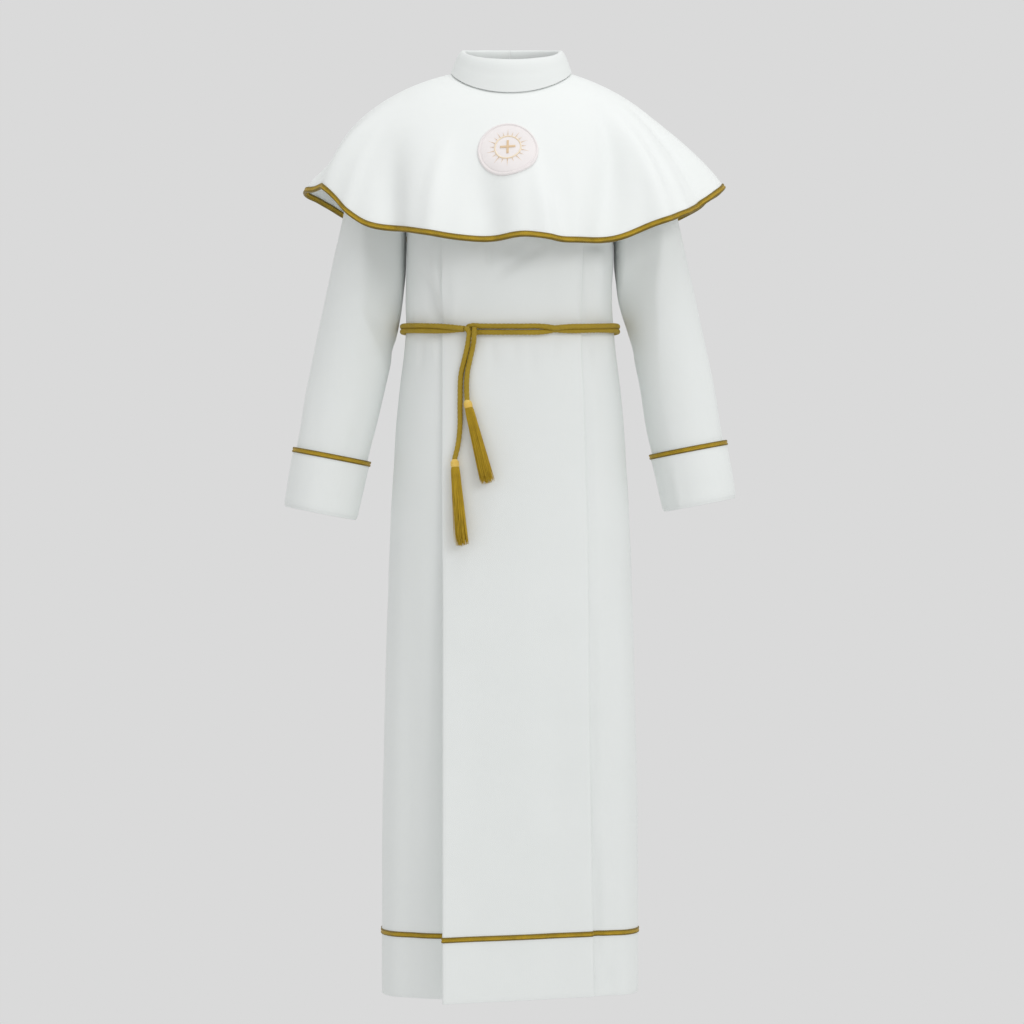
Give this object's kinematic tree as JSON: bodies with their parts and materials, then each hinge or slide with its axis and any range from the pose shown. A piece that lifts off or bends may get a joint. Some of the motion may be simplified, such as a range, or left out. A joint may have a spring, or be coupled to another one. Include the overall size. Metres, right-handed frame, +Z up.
{
  "type": "alb robe",
  "caption": "Child's floor-length alb, worn with no wearer: pleated front panel, shoulder cape edged with braid, fold-over collar, cuffed sleeves and a tasselled rope cincture.",
  "frame": {"origin": "middle of the wearer's neck, level with the neck ends of the shoulders, where the wearer carries the garment", "axes": "+Z up, -Y out of the garment's front, +X towards the wearer's left"},
  "size_m": [0.518, 0.3021, 1.0876],
  "materials": {
    "white_cloth": "matte, fine plain weave",
    "gold_braid": "satin metallic-thread braid",
    "gold_rope": "matte twisted rope",
    "cream_satin": "pale satin"
  },
  "bodies": {
    "root": {"robe_front": "white_cloth", "robe_front_yoke": "white_cloth", "robe_back": "white_cloth", "sleeve_left": "white_cloth", "sleeve_right": "white_cloth", "cuff_left": "white_cloth", "cuff_right": "white_cloth", "cape": "white_cloth", "collar": "white_cloth", "cape_edging": "gold_braid", "cuff_braid_left": "gold_braid", "cuff_braid_right": "gold_braid", "hem_braid_right": "gold_braid", "hem_braid_centre": "gold_braid", "hem_braid_left": "gold_braid", "hem_braid_back": "gold_braid", "applique": "cream_satin", "applique_sun": "gold_braid", "applique_cross": "gold_braid", "cincture_waist": "gold_rope", "cord_end_long": "gold_rope", "cord_end_short": "gold_rope", "tassel_long": "gold_rope", "tassel_short": "gold_rope"}
  },
  "joints": []
}
